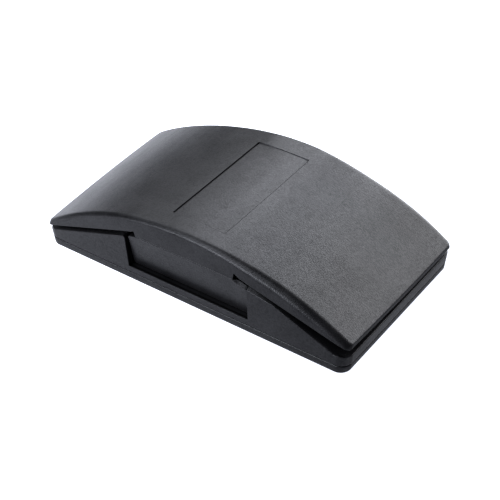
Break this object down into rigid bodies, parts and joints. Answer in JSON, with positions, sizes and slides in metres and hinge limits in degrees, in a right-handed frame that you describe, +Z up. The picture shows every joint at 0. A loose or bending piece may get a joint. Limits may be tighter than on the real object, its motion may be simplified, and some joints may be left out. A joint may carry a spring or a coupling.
{
  "type": "hand sanding block",
  "caption": "Arched black rubber hand sanding block with a flat sole, finger recesses and a sprung clamping jaw over spiked slits at each end for the abrasive paper.",
  "frame": {"origin": "middle of the flat underside, on the surface that the block stands on", "axes": "+X along the block towards the right jaw's tip, +Y across it to the far side, +Z up towards the arch's crest"},
  "size_m": [0.129, 0.068, 0.0301],
  "materials": {
    "moulded_rubber": "matte moulded black rubber with a soft sheen and light scuffs",
    "sole_rubber": "matte black rubber, slightly greyer at its cut edge",
    "nail_steel": "drawn steel wire"
  },
  "bodies": {
    "block": {"sole_pad": "sole_rubber", "base_block": "moulded_rubber", "grip_core": "moulded_rubber", "left_nail_1": "nail_steel", "left_nail_2": "nail_steel", "left_nail_3": "nail_steel", "right_nail_1": "nail_steel", "right_nail_2": "nail_steel", "right_nail_3": "nail_steel"},
    "left_jaw": {"left_jaw": "moulded_rubber"},
    "right_jaw": {"right_jaw": "moulded_rubber"}
  },
  "joints": [
    {"name": "left_jaw_lift", "type": "hinge", "parent": "block", "child": "left_jaw", "pos_m": [-0.02105, 0, 0.02509], "axis": [0, 1, 0], "range_deg": [0, 25], "stiffness_Nm_per_rad": 0.8},
    {"name": "right_jaw_lift", "type": "hinge", "parent": "block", "child": "right_jaw", "pos_m": [0.02105, 0, 0.02509], "axis": [0, -1, 0], "range_deg": [0, 25], "stiffness_Nm_per_rad": 0.8}
  ]
}
